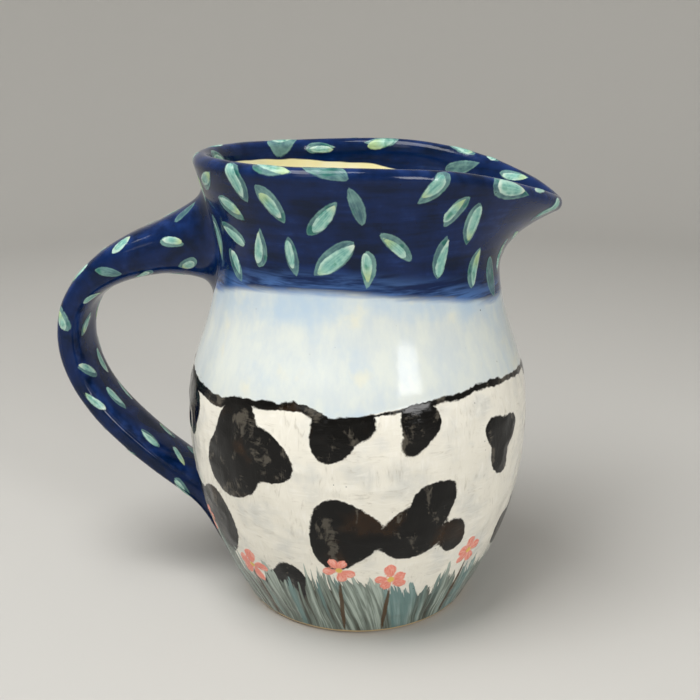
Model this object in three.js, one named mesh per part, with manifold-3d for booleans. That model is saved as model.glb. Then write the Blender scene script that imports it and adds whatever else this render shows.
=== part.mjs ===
// A hand-built pitcher of glazed earthenware, in the clay pieces that are luted together with slip:
// base slab, belly wall, neck collar, pouring lip and strap handle.
// Millimetres, +Z up. The table is z = 0, the axis of the body is x = y = 0, the lip points to +X.

import * as THREE from 'three';
import { mergeVertices } from 'three/addons/utils/BufferGeometryUtils.js';
import Module from 'manifold-3d';

// Body: outer radii, the rise from each station to the next, and how far the rim is drawn out to the handle
const footRadius = 51.8;
const bellyRadius = 76.2;
const throatRadius = 61.3;
const rimRadius = 67.5;
const bellyRise = 85;
const shoulderRise = 77;
const collarRise = 38;
const rimStretch = 3;
const rimStretchCurve = 1.5;

// Body: lean of the wall from upright at both ends, and how far each station's curve runs straight
const footLean = THREE.MathUtils.degToRad(30);
const rimLean = THREE.MathUtils.degToRad(9);
const footPull = 24;
const bellyPullBelow = 35;
const bellyPullAbove = 34;
const throatPullBelow = 36;
const throatPullAbove = 10;
const rimPull = 12;

// Clay thicknesses and the layer of slip at every luted joint
const wall = 5.5;
const rimThickness = 7.5;
const rimSwellLength = 14;
const floorThickness = 9;
const slip = 0.3;

// Seats: the ledge of the slab, the eased edge of the foot, and the tongue between belly and collar
const ledgeHeight = 6;
const footEase = 1.5;
const tongueHeight = 3;
const tongueThickness = 2.5;
const seamBelowLip = 6;

// Pouring lip: where it leaves the collar, how far it reaches past the rim, and how far it droops
const lipRootBelowThroat = 12;
const lipOverhang = 18.9;
const lipDroop = 18.5;
const lipRise = THREE.MathUtils.degToRad(27.5);
const lipRootPull = 9.6;
const lipTipPull = 19.8;
const lipHalfAngle = THREE.MathUtils.degToRad(87);
const lipPoint = 1.2;
const lipHollow = 3.15;
const lipSag = 0.82;
const lipCutHalfWidth = 45;
const lipCutFootHalfWidth = 20;

// Strap handle: its bend, its two roots and its tail, as heights above the table and reach from the axis
const handleReach = 130;
const bendHeight = 115;
const upperRootHeight = 163;
const lowerRootHeight = 44;
const lowerRootStandOff = 2.6;
const tailHeight = 13.5;
const upperDrop = THREE.MathUtils.degToRad(6);
const lowerDrop = THREE.MathUtils.degToRad(34);
const upperPull = 44;
const bendPullUp = 28;
const bendPullDown = 23;
const lowerPull = 46;
const tailPull = 9;

// Strap handle: section of the strap, its swell towards the upper root, and its thinning to the tail
const strapWidth = 31;
const strapThickness = 12.2;
const rootSwell = 7.8;
const rootSwellLength = 80;
const rootFillet = 8.5;
const rootFilletLength = 30;
const rootSpread = 5;
const tailThickness = 10;
const tailWidth = 27;
const tailLength = 40;
const tailBlunt = 0.1;
const strapSquareness = 3;
const rootSquareness = 2.2;

// Facets, and the distance within which corners are one
const weld = 1e-4;
const profileSteps = 48;
const turnSteps = 52;
const wallSteps = 13;
const floorSteps = 3;
const collarStep = THREE.MathUtils.degToRad(7);
const lipStep = THREE.MathUtils.degToRad(3.25);
const lipSteps = 9;
const rimSteps = 6;
const cutSteps = 10;
const strapSteps = 40;
const strapSides = 16;

// Stations worked out from the driving dimensions
const throatHeight = bellyRise + shoulderRise;
const rimHeight = throatHeight + collarRise;
const lipRootHeight = throatHeight - lipRootBelowThroat;
const seamHeight = lipRootHeight - seamBelowLip;
const wallTopHeight = rimHeight - (rimThickness / 2) * (1 + Math.sin(rimLean));

const wasm = await Module();
wasm.setup();

// Outer profile of the body from the foot to the rim, as radius and height
function bodyProfile() {
  const path = new THREE.Path();
  path.moveTo(footRadius, 0);
  path.bezierCurveTo(
    footRadius + footPull * Math.sin(footLean), footPull * Math.cos(footLean),
    bellyRadius, bellyRise - bellyPullBelow,
    bellyRadius, bellyRise);
  path.bezierCurveTo(
    bellyRadius, bellyRise + bellyPullAbove,
    throatRadius, throatHeight - throatPullBelow,
    throatRadius, throatHeight);
  path.bezierCurveTo(
    throatRadius, throatHeight + throatPullAbove,
    rimRadius - rimPull * Math.sin(rimLean), rimHeight - rimPull * Math.cos(rimLean),
    rimRadius, rimHeight);
  return path.getPoints(profileSteps);
}

const profile = bodyProfile();

function profileSpan(height) {
  const last = profile.length - 2;
  const found = profile.findIndex((point) => point.y > height) - 1;
  const index = found < 0 ? last : Math.min(found, last);
  return [profile[index], profile[index + 1]];
}

function outerRadius(height) {
  const [low, high] = profileSpan(height);
  return THREE.MathUtils.mapLinear(height, low.y, high.y, low.x, high.x);
}

function wallSlope(height) {
  const [low, high] = profileSpan(height);
  return (high.x - low.x) / (high.y - low.y);
}

function innerRadius(height) {
  return outerRadius(height) - wall * Math.hypot(1, wallSlope(height));
}

// How far the collar is drawn out towards the handle at one direction and height
function stretch(angle, height) {
  const rise = THREE.MathUtils.clamp((height - throatHeight) / collarRise, 0, 1);
  return rimStretch * Math.max(0, -Math.cos(angle)) ** 2 * rise ** rimStretchCurve;
}

function outerPoint(height) {
  return new THREE.Vector2(outerRadius(height), height);
}

function innerPoint(height) {
  return new THREE.Vector2(innerRadius(height), height);
}

function heights(from, to, steps) {
  return Array.from({ length: steps + 1 }, (_, step) => THREE.MathUtils.lerp(from, to, step / steps));
}

// A closed geometry with shared vertices merged, slivers dropped and its faces pointing out
function closed(geometry) {
  geometry.deleteAttribute('normal');
  geometry.deleteAttribute('uv');
  const merged = mergeVertices(geometry, weld);
  const spots = merged.attributes.position;
  const corner = [new THREE.Vector3(), new THREE.Vector3(), new THREE.Vector3()];
  const faces = [];
  let volume = 0;
  for (let start = 0; start < merged.index.count; start += 3) {
    const face = [0, 1, 2].map((offset) => merged.index.getX(start + offset));
    if (new Set(face).size === 3) {
      face.forEach((vertex, place) => corner[place].fromBufferAttribute(spots, vertex));
      volume += corner[0].dot(corner[1].clone().cross(corner[2]));
      faces.push(face);
    }
  }
  const outward = volume < 0 ? faces.map(([a, b, c]) => [a, c, b]) : faces;
  const result = new THREE.BufferGeometry();
  result.setAttribute('position', spots);
  result.setIndex(outward.flat());
  result.computeVertexNormals();
  return result;
}

function toSolid(geometry) {
  const vertProperties = Float32Array.from(geometry.attributes.position.array);
  const triVerts = Uint32Array.from(geometry.index.array);
  return new wasm.Manifold(new wasm.Mesh({ numProp: 3, vertProperties, triVerts }));
}

function toGeometry(solid) {
  const mesh = solid.getMesh();
  const geometry = new THREE.BufferGeometry();
  geometry.setAttribute('position', new THREE.BufferAttribute(Float32Array.from(mesh.vertProperties), 3));
  geometry.setIndex(Array.from(mesh.triVerts));
  geometry.computeVertexNormals();
  return geometry;
}

// A profile of radius and height turned about the axis of the body
function turned(points) {
  const geometry = new THREE.LatheGeometry(points, turnSteps);
  geometry.rotateX(Math.PI / 2);
  return closed(geometry);
}

// A skin over sections of equally many points: each section is a ring, and the row of sections is
// either a ring itself or capped at both ends
function skinned(sections, isRing) {
  const sides = sections[0].length;
  const spots = sections.flat();
  const faces = [];
  const spans = isRing ? sections.length : sections.length - 1;
  for (let row = 0; row < spans; row += 1) {
    const next = (row + 1) % sections.length;
    for (let side = 0; side < sides; side += 1) {
      const along = (side + 1) % sides;
      const corners = [row * sides + side, row * sides + along, next * sides + along, next * sides + side];
      faces.push([corners[0], corners[1], corners[2]], [corners[0], corners[2], corners[3]]);
    }
  }
  if (!isRing) {
    const lastRow = (sections.length - 1) * sides;
    for (let side = 1; side < sides - 1; side += 1) {
      faces.push([0, side + 1, side], [lastRow, lastRow + side, lastRow + side + 1]);
    }
  }
  const geometry = new THREE.BufferGeometry().setFromPoints(spots);
  geometry.setIndex(faces.flat());
  return closed(geometry);
}

// Base slab: its raised middle locates the belly wall, which stands on the ledge round it
function baseSlab() {
  const discRadius = innerRadius(floorThickness) - slip;
  const outline = [
    new THREE.Vector2(0, 0),
    new THREE.Vector2(footRadius - footEase, 0),
    ...heights(footEase, ledgeHeight, floorSteps).map(outerPoint),
    new THREE.Vector2(discRadius, ledgeHeight),
    new THREE.Vector2(discRadius, floorThickness),
    new THREE.Vector2(0, floorThickness),
  ];
  return turned(outline);
}

// Radius of the tongue on top of the belly wall, which the foot of the collar is rebated to fit over
const tongueRadius = innerRadius(seamHeight) + tongueThickness;

function bellyWall() {
  const standing = ledgeHeight + slip;
  const tongueTop = seamHeight + tongueHeight;
  const outline = [
    ...heights(standing, seamHeight, wallSteps).map(outerPoint),
    new THREE.Vector2(tongueRadius, seamHeight),
    new THREE.Vector2(tongueRadius, tongueTop),
    ...heights(tongueTop, floorThickness, wallSteps).map(innerPoint),
    new THREE.Vector2(innerRadius(floorThickness), standing),
  ];
  outline.push(outline[0].clone());
  return turned(outline);
}

// Outer line of the collar above the root of the lip, plain and along the middle of the lip
function collarLine() {
  return heights(lipRootHeight, wallTopHeight, lipSteps).map(outerPoint);
}

function lipLine() {
  const tipRun = new THREE.Vector2(Math.cos(lipRise), Math.sin(lipRise));
  const tipUp = new THREE.Vector2(-tipRun.y, tipRun.x);
  const tip = new THREE.Vector2(rimRadius + lipOverhang, rimHeight - lipDroop);
  const root = outerPoint(lipRootHeight);
  const rootRun = new THREE.Vector2(wallSlope(lipRootHeight), 1).normalize();
  const tipUnder = tip.clone()
    .addScaledVector(tipRun, -rimThickness / 2)
    .addScaledVector(tipUp, -rimThickness / 2);
  const line = new THREE.CubicBezierCurve(
    root,
    root.clone().addScaledVector(rootRun, lipRootPull),
    tipUnder.clone().addScaledVector(tipRun, -lipTipPull),
    tipUnder);
  return line.getPoints(lipSteps);
}

const plainLine = collarLine();
const beakLine = lipLine();

// How much of the lip a direction round the body has: 1 along its middle, 0 past its half angle
function lipShare(angle) {
  const share = Math.min(1, Math.abs(angle) / lipHalfAngle);
  return (1 - share ** lipPoint) ** lipHollow;
}

// Thickness of the collar at each point of its outer line: it swells to the thick rounded rim
function rimSwell(outer) {
  return outer.map((point, step) => {
    const later = outer.slice(step);
    const toRim = later.slice(1).reduce((sum, next, index) => sum + next.distanceTo(later[index]), 0);
    return THREE.MathUtils.lerp(wall, rimThickness, eased(1 - toRim / rimSwellLength));
  });
}

// A point of radius and height, placed at one direction round the body
function roundBody(point, angle) {
  return new THREE.Vector3(point.x * Math.cos(angle), point.x * Math.sin(angle), point.y);
}

// Section of collar and lip at one direction round the body: up the outside, over the rounded rim,
// down the inside and round the rebate that fits over the tongue of the belly wall
function crownSection(angle) {
  const share = lipShare(angle);
  const outer = plainLine.map((point, step) => {
    const beak = beakLine[step];
    return new THREE.Vector2(
      THREE.MathUtils.lerp(point.x + stretch(angle, point.y), beak.x, share),
      THREE.MathUtils.lerp(point.y, beak.y, share ** lipSag));
  });
  const last = outer.length - 1;
  const thickness = rimSwell(outer);
  const inner = outer.map((point, step) => {
    const run = outer[Math.min(step + 1, last)].clone().sub(outer[Math.max(step - 1, 0)]).normalize();
    return point.clone().add(new THREE.Vector2(-run.y, run.x).multiplyScalar(thickness[step]));
  });
  const middle = outer[last].clone().lerp(inner[last], 0.5);
  const arm = outer[last].clone().sub(middle);
  const rim = [];
  for (let step = 1; step < rimSteps; step += 1) {
    rim.push(arm.clone().rotateAround(new THREE.Vector2(), Math.PI * step / rimSteps).add(middle));
  }
  const foot = seamHeight + slip;
  const rebateTop = foot + tongueHeight;
  const rebateRadius = tongueRadius + slip;
  const line = [
    outerPoint(foot),
    ...outer,
    ...rim,
    ...inner.reverse(),
    innerPoint(rebateTop),
    new THREE.Vector2(rebateRadius, rebateTop),
    new THREE.Vector2(rebateRadius, foot),
  ];
  return line.map((point) => roundBody(point, angle));
}

// Directions round the body, closer together across the lip
function crownAngles() {
  const acrossLip = Math.round(2 * lipHalfAngle / lipStep);
  const roundBack = Math.round((2 * Math.PI - 2 * lipHalfAngle) / collarStep);
  return [
    ...heights(-lipHalfAngle, lipHalfAngle, acrossLip),
    ...heights(lipHalfAngle, 2 * Math.PI - lipHalfAngle, roundBack).slice(1, -1),
  ];
}

function crown() {
  return toSolid(skinned(crownAngles().map(crownSection), true));
}

// The rounded notch in front of the collar that the lip is set into, as a prism along X
function lipNotch(growth) {
  const top = rimHeight + wall;
  const half = new THREE.CubicBezierCurve(
    new THREE.Vector2(lipCutHalfWidth, rimHeight),
    new THREE.Vector2(lipCutHalfWidth, (rimHeight + lipRootHeight) / 2),
    new THREE.Vector2(lipCutFootHalfWidth, lipRootHeight),
    new THREE.Vector2(0, lipRootHeight)).getPoints(cutSteps);
  const grown = half.map((point, step) => {
    const before = half[Math.max(step - 1, 0)];
    const after = half[Math.min(step + 1, cutSteps)];
    const run = step === cutSteps ? new THREE.Vector2(-1, 0) : after.clone().sub(before).normalize();
    return point.clone().add(new THREE.Vector2(-run.y, run.x).multiplyScalar(growth));
  });
  const right = [new THREE.Vector2(grown[0].x, top), ...grown];
  const left = right.slice(0, -1).reverse().map((point) => new THREE.Vector2(-point.x, point.y));
  const geometry = new THREE.ExtrudeGeometry(new THREE.Shape([...right, ...left]), {
    depth: rimRadius + lipOverhang + wall,
    bevelEnabled: false,
  });
  const axes = new THREE.Matrix4().makeBasis(
    new THREE.Vector3(0, 1, 0), new THREE.Vector3(0, 0, 1), new THREE.Vector3(1, 0, 0));
  geometry.applyMatrix4(axes);
  return toSolid(closed(geometry));
}

function neckCollar() {
  return toGeometry(crown().subtract(lipNotch(slip)));
}

function pouringLip() {
  return toGeometry(crown().intersect(lipNotch(0)));
}

// Middle line of the strap in the plane of the handle, from inside the collar to the tail's end
function strapLine() {
  const along = (angle) => new THREE.Vector3(Math.cos(angle), 0, Math.sin(angle));
  const inside = new THREE.Vector3(-outerRadius(upperRootHeight) + wall, 0, upperRootHeight);
  const bend = new THREE.Vector3(-handleReach, 0, bendHeight);
  const lower = new THREE.Vector3(
    -outerRadius(lowerRootHeight) - lowerRootStandOff, 0, lowerRootHeight);
  const tail = new THREE.Vector3(-outerRadius(tailHeight), 0, tailHeight);
  const tailRun = new THREE.Vector3(-wallSlope(tailHeight), 0, 1).normalize();
  const line = new THREE.CurvePath();
  line.add(new THREE.CubicBezierCurve3(
    inside,
    inside.clone().addScaledVector(along(Math.PI + upperDrop), wall + upperPull),
    bend.clone().setZ(bendHeight + bendPullUp),
    bend));
  line.add(new THREE.CubicBezierCurve3(
    bend,
    bend.clone().setZ(bendHeight - bendPullDown),
    lower.clone().addScaledVector(along(Math.PI - lowerDrop), lowerPull),
    lower));
  line.add(new THREE.CubicBezierCurve3(
    lower,
    lower.clone().addScaledVector(along(-lowerDrop), tailPull),
    tail.clone().addScaledVector(tailRun, tailPull),
    tail));
  return line;
}

function eased(share) {
  return THREE.MathUtils.smoothstep(share, 0, 1);
}

// Half thickness, half width and squareness of the strap at a distance from the collar and from the tail's end
function strapSize(fromCollar, fromTail) {
  const swell = rootSwell * eased(1 - fromCollar / rootSwellLength);
  const fillet = THREE.MathUtils.clamp(1 - fromCollar / rootFilletLength, 0, 1) ** 2;
  const thinning = eased(1 - fromTail / tailLength);
  const tip = Math.sqrt(THREE.MathUtils.clamp(fromTail / tailThickness, tailBlunt, 1));
  const thickness = THREE.MathUtils.lerp(strapThickness, tailThickness, thinning);
  const width = THREE.MathUtils.lerp(strapWidth, tailWidth, thinning);
  return {
    halfThickness: (thickness / 2) * tip + swell + rootFillet * fillet,
    halfWidth: (width / 2) * tip + rootSpread * fillet,
    squareness: THREE.MathUtils.lerp(strapSquareness, rootSquareness, eased(1 - fromCollar / rootSwellLength)),
  };
}

function strapSection(line, share) {
  const length = line.getLength();
  const middle = line.getPointAt(share);
  const run = line.getTangentAt(share);
  const out = new THREE.Vector3(run.z, 0, -run.x);
  const size = strapSize(share * length - wall, (1 - share) * length);
  const ring = [];
  for (let side = 0; side < strapSides; side += 1) {
    const turn = 2 * Math.PI * side / strapSides;
    const power = 2 / size.squareness;
    const across = Math.sign(Math.sin(turn)) * Math.abs(Math.sin(turn)) ** power;
    const through = Math.sign(Math.cos(turn)) * Math.abs(Math.cos(turn)) ** power;
    const spot = middle.clone().addScaledVector(out, size.halfThickness * through);
    ring.push(spot.setY(size.halfWidth * across));
  }
  return ring;
}

// The whole body as one filled solid, grown by the slip, which the roots of the handle are scooped to
function bodyFill() {
  const sections = crownAngles().map((angle) => {
    const line = [new THREE.Vector2(0, -slip)];
    for (const height of heights(0, rimHeight, 2 * wallSteps)) {
      const growth = slip * Math.hypot(1, wallSlope(height)) + stretch(angle, height);
      line.push(new THREE.Vector2(outerRadius(height) + growth, height));
    }
    line.push(new THREE.Vector2(0, rimHeight + slip));
    return line.map((point) => roundBody(point, angle));
  });
  return toSolid(skinned(sections, true));
}

function strapHandle() {
  const line = strapLine();
  const sections = heights(0, 1, strapSteps).map((share) => strapSection(line, share));
  return toGeometry(toSolid(skinned(sections, false)).subtract(bodyFill()));
}

// One named mesh for a sub-part, in its own glaze
function piece(name, geometry, color, roughness) {
  const material = new THREE.MeshStandardMaterial({ color, roughness, metalness: 0 });
  const mesh = new THREE.Mesh(geometry, material);
  mesh.name = name;
  return mesh;
}

const pitcher = new THREE.Group();
pitcher.add(piece('base_slab', baseSlab(), 0xe6d9b8, 0.45));
pitcher.add(piece('belly_wall', bellyWall(), 0xc8d4e1, 0.15));
pitcher.add(piece('neck_collar', neckCollar(), 0x0a1440, 0.12));
pitcher.add(piece('pouring_lip', pouringLip(), 0x0a1440, 0.12));
pitcher.add(piece('strap_handle', strapHandle(), 0x0c1844, 0.12));

export default pitcher;
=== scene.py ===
import math

import bpy
import numpy as np
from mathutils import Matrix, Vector


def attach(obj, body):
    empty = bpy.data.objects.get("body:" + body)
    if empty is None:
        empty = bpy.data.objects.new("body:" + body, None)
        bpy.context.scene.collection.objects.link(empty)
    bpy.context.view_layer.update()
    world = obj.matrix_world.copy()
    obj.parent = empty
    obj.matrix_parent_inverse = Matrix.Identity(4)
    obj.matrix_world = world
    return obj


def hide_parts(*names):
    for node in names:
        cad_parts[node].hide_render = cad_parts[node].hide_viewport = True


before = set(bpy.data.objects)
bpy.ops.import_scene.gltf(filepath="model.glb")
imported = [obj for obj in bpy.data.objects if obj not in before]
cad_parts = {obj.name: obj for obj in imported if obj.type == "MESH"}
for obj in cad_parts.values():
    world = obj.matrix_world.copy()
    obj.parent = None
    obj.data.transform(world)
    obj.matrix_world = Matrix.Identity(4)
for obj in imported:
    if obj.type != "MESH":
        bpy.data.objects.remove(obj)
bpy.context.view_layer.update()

# A hand-built, hand-painted pitcher of glazed earthenware. The solids of the frame are replaced by finer
# skins of the same form. Lengths are millimetres here, and become metres where a mesh is made.
METRE = 0.001

# Body: outer radii, heights and lean of the wall
FOOT_RADIUS = 51.8
BELLY_RADIUS = 76.2
THROAT_RADIUS = 61.3
RIM_RADIUS = 67.5
BELLY_HEIGHT = 85.0
THROAT_HEIGHT = 162.0
RIM_HEIGHT = 200.0
RIM_STRETCH = 3.0
RIM_STRETCH_CURVE = 1.5
FOOT_LEAN = math.radians(30)
RIM_LEAN = math.radians(9)
FOOT_PULL = 24.0
BELLY_PULL_BELOW = 35.0
BELLY_PULL_ABOVE = 34.0
THROAT_PULL_BELOW = 36.0
THROAT_PULL_ABOVE = 10.0
RIM_PULL = 12.0
WALL = 5.5
RIM_THICKNESS = 7.5
RIM_SWELL_LENGTH = 14.0
FLOOR = 9.0
FOOT_EASE = 1.5
LEDGE = 6.15
FLOOR_FILLET = 9.0
FILLET_PULL = 0.6
FILLET_REST = 0.35
SEAM_OUTSIDE = 144.0
SEAM_INSIDE = 147.0

# Pouring lip
LIP_ROOT = 150.0
LIP_OVERHANG = 18.9
LIP_DROOP = 18.5
LIP_RISE = math.radians(27.5)
LIP_ROOT_PULL = 9.6
LIP_TIP_PULL = 19.8
LIP_HALF_ANGLE = math.radians(87)
LIP_POINT = 1.2
LIP_HOLLOW = 3.15
LIP_SAG = 0.82

# Strap handle: its line and its section
HANDLE_REACH = 130.0
BEND_HEIGHT = 115.0
UPPER_ROOT = 163.0
LOWER_ROOT = 44.0
LOWER_STAND_OFF = 2.6
TAIL_HEIGHT = 13.5
UPPER_DROP = math.radians(6)
LOWER_DROP = math.radians(34)
UPPER_PULL = 44.0
BEND_PULL_UP = 28.0
BEND_PULL_DOWN = 23.0
LOWER_PULL = 46.0
TAIL_PULL = 9.0
STRAP_WIDTH = 31.0
STRAP_THICKNESS = 12.2
ROOT_SWELL = 7.8
ROOT_SWELL_LENGTH = 80.0
ROOT_FLARE = 8.5
ROOT_FLARE_LENGTH = 30.0
ROOT_SPREAD = 5.0
TAIL_THICKNESS = 6.4
TAIL_WIDTH = 27.0
TAIL_LENGTH = 40.0
TAIL_ROUNDING = 13.0
TAIL_DIP = 2.4
TAIL_DIP_LENGTH = 5.0
STRAP_SQUARENESS = 3.0
ROOT_SQUARENESS = 2.2
UPPER_FILLET = 6.0
LOWER_FILLET = 2.4

# How finely the skins are cut
COLUMNS = 440
HUB_RADIUS = 2.0
UNDER_ROWS = 12
FOOT_ROWS = 5
LEDGE_ROWS = 6
BELLY_ROWS = 128
THROAT_ROWS = 7
CROWN_ROWS = 46
RIM_ROWS = 10
INNER_ROWS = 50
CORNER_ROWS = 9
FLOOR_ROWS = 13
STRAP_COLUMNS = 96
STRAP_ROWS = 230
FILLET_ROWS = 8
PROFILE_STEPS = 300
STRAP_STEPS = 500
ROOT_STEPS = 900

# Hand-built unevenness: how far the skins stay inside the solids, and how far they wander
INSET = 0.66
WANDER = 0.22
LUMPS = 0.07
FOOT_WANDER = 0.4
STILL_RADIUS = 30.0
RIM_WANDER = 0.3
RIM_SINK = 1.6
RIM_LUMPS = 0.2
RIM_REACH = 12.0
CREST_WIDTH = 4.5
STRAP_INSET = 0.5
STRAP_WANDER = 0.34
STRAP_LUMPS = 0.14
FINGER_GROOVE = 0.3
ROOT_DEPTH = 0.7
ROOT_STILL = 1.0
ROOT_STILL_FADE = 8.0

# The bend above the handle's tail: where it is evened out, counted from the tail's end, and how often
EASE_NEAR = 8.0
EASE_FAR = 60.0
EASE_NEAR_FADE = 8.0
EASE_FAR_FADE = 12.0
EASE_CLEAR = 2.0
EASE_ROUNDS = 160

# Noises: how far apart their bumps are, and their seeds
WALL_NOISE = (46, 3)
LUMP_NOISE = (13, 4)
RIM_LUMP_NOISE = (20, 5)
RIM_NOISE = (50, 6)
STRAP_NOISE = (30, 7)
STRAP_LUMP_NOISE = (11, 8)
BORDER_NOISE = (24, 11)
INSIDE_BORDER_NOISE = (15, 12)
HIDE_NOISE = (52, 21)
HIDE_FINE_NOISE = (15, 22)
GRASS_NOISE = (42, 23)
GRASS_FINE_NOISE = (9, 24)
GRASS_LEAN_NOISE = (26, 25)
PATCH_NOISES = ((17, 31), (17, 32))
BRUSH_NOISE = (7.5, 41)

# How far each kind of paint stands proud, and how softly its edge rises
FIELD_RELIEF = 0.1
PATCH_RELIEF = 0.14
BRUSH_RELIEF = 0.26
WASH_RELIEF = 0.1
DAB_RELIEF = 0.16
PETAL_RELIEF = 0.2
FIELD_SOFTNESS = 1.5
PATCH_SOFTNESS = 1.6
WASH_SOFTNESS = 1.6
DAB_SOFTNESS = 1.2
PETAL_SOFTNESS = 1.2

# Leaves: half the longest one's length, the gap between them and the tries, on the jug and on the strap.
# Then lengths as shares of the longest, widths as shares of the length, the places and widths along a leaf
# at which its room is measured, which leaves lack a layer, how far leaves keep off other things, which of
# them count as on the crest of the rim, and how far they turn from the way of their place
LEAF_LENGTH = 10.6
LEAF_GAP = 3.1
LEAF_TRIES = 20000
STRAP_LEAF_LENGTH = 8.2
STRAP_LEAF_GAP = 5.4
STRAP_LEAF_TRIES = 6000
LEAF_LENGTHS = (0.68, 1.0)
LEAF_WIDTHS = (0.3, 0.44)
SPINE_PLACES = (-0.85, -0.45, 0.0, 0.45, 0.85)
SPINE_WIDTHS = (0.45, 0.85, 1.0, 0.85, 0.45)
NO_WASH_BELOW = 0.1
NO_DAB_ABOVE = 0.93
BORDER_CLEAR = 8.0
INSIDE_BORDER_CLEAR = 4.0
ROOT_CLEAR = 3.0
TAIL_CLEAR = 42.0
CREST_SHARE = 0.25
LEVEL_SPREAD = 0.35
RISING_SPREAD = 1.25
STRAP_SPREAD = 0.9

# Patches: tries, heights, radii, share of both radii between two of them, and how their edges run
PATCH_TRIES = 900
PATCH_LEVELS = (24, 112)
PATCH_SIZES = (9.5, 19)
PATCH_SPACING = 1.36
PATCH_DROPS = 3
PATCH_WARP = 3.4
PATCH_BLEND = 2.6

# Blossoms: their number, height over the grass and the sizes of their marks
BLOSSOMS = 13
BLOSSOM_RISES = (2, 11)
PETALS = 5
PETAL_SIZES = (2.9, 4.0)
EYE_LENGTH = 1.6
EYE_WIDTH = 1.5
STEM_WIDTH = 0.9

# Gloss of the glaze
GLAZE_ROUGHNESS = 0.07
GLAZE_SHINE = 0.26

# A distance that counts as nowhere near
FAR = 99.0

random = np.random.default_rng(41)
draw = random.uniform


def bezier(points, share):
    """Points of a cubic curve at shares of its way from 0 to 1."""
    start, leave, arrive, end = (np.asarray(point, float) for point in points)
    t = np.asarray(share, float)[..., None]
    back = 1 - t
    return start * back**3 + 3 * leave * t * back**2 + 3 * arrive * t**2 * back + end * t**3


def path(stations, steps):
    """A smooth line through stations: each has a place, the way on, and the pulls before and after it."""
    share = np.linspace(0, 1, steps)
    parts = [[stations[0][0]]]
    for (start, leaving, _, after), (end, arriving, before, _) in zip(stations, stations[1:]):
        parts.append(bezier([start, start + leaving * after, end - arriving * before, end], share)[1:])
    return np.concatenate(parts)


def smooth(share):
    """0 to 1 with a soft start and end."""
    held = np.clip(share, 0, 1)
    return held * held * (3 - 2 * held)


def mix(low, high, share):
    return low + (high - low) * share


def unit(vectors):
    """Vectors of length 1 along the last axis."""
    return vectors / np.maximum(np.linalg.norm(vectors, axis=-1, keepdims=True), 1e-9)


def flat(values):
    """Values of a skin, one row after the other."""
    return values.reshape(-1, *values.shape[2:])


def turn_between(first, second):
    """Angle from the second direction to the first, at most half a turn either way."""
    return (first - second + math.pi) % math.tau - math.pi


def soft_noise(places, size, seed):
    """Smooth noise from -1 to 1 at places in space, with bumps about as far apart as size."""
    period = 32
    table = np.random.default_rng(seed).random((period, period, period))
    spot = np.asarray(places, float) / size
    cell = np.floor(spot).astype(int)
    share = smooth(spot - cell)
    total = np.zeros(spot.shape[:-1])
    for corner in np.ndindex(2, 2, 2):
        weight = np.prod(np.where(corner, share, 1 - share), axis=-1)
        index = (cell + np.array(corner)) % period
        total += weight * table[index[..., 0], index[..., 1], index[..., 2]]
    return 2 * total - 1


def body_profile():
    """Outer line of the body from foot to rim as rows of radius and height."""
    upright = np.array([0.0, 1.0])
    foot_way = np.array([math.sin(FOOT_LEAN), math.cos(FOOT_LEAN)])
    rim_way = np.array([math.sin(RIM_LEAN), math.cos(RIM_LEAN)])
    return path([
        ((FOOT_RADIUS, 0), foot_way, 0, FOOT_PULL),
        ((BELLY_RADIUS, BELLY_HEIGHT), upright, BELLY_PULL_BELOW, BELLY_PULL_ABOVE),
        ((THROAT_RADIUS, THROAT_HEIGHT), upright, THROAT_PULL_BELOW, THROAT_PULL_ABOVE),
        ((RIM_RADIUS, RIM_HEIGHT), rim_way, RIM_PULL, 0)], PROFILE_STEPS)


PROFILE = body_profile()
PROFILE_SLOPE = np.gradient(PROFILE[:, 0], PROFILE[:, 1])


def outer_radius(height):
    return np.interp(height, PROFILE[:, 1], PROFILE[:, 0])


def wall_slope(height):
    return np.interp(height, PROFILE[:, 1], PROFILE_SLOPE)


def inner_radius(height):
    return outer_radius(height) - WALL * np.hypot(1, wall_slope(height))


def stretch(angle, height):
    """How far the collar is drawn out towards the handle."""
    rise = np.clip((height - THROAT_HEIGHT) / (RIM_HEIGHT - THROAT_HEIGHT), 0, 1)
    return RIM_STRETCH * np.maximum(0, -np.cos(angle)) ** 2 * rise**RIM_STRETCH_CURVE


def lip_share(angle):
    """How much of the lip a direction round the body has, 1 along its middle."""
    share = np.minimum(1, np.abs(angle) / LIP_HALF_ANGLE)
    return (1 - share**LIP_POINT) ** LIP_HOLLOW


def lip_line(share):
    """Underside of the lip along its middle, from the wall to its tip."""
    tip_run = np.array([math.cos(LIP_RISE), math.sin(LIP_RISE)])
    tip_up = np.array([-tip_run[1], tip_run[0]])
    root = np.array([outer_radius(LIP_ROOT), LIP_ROOT])
    root_run = unit(np.array([wall_slope(LIP_ROOT), 1.0]))
    tip = np.array([RIM_RADIUS + LIP_OVERHANG, RIM_HEIGHT - LIP_DROOP])
    under = tip - (tip_run + tip_up) * RIM_THICKNESS / 2
    return bezier([root, root + root_run * LIP_ROOT_PULL, under - tip_run * LIP_TIP_PULL, under], share)


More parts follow.
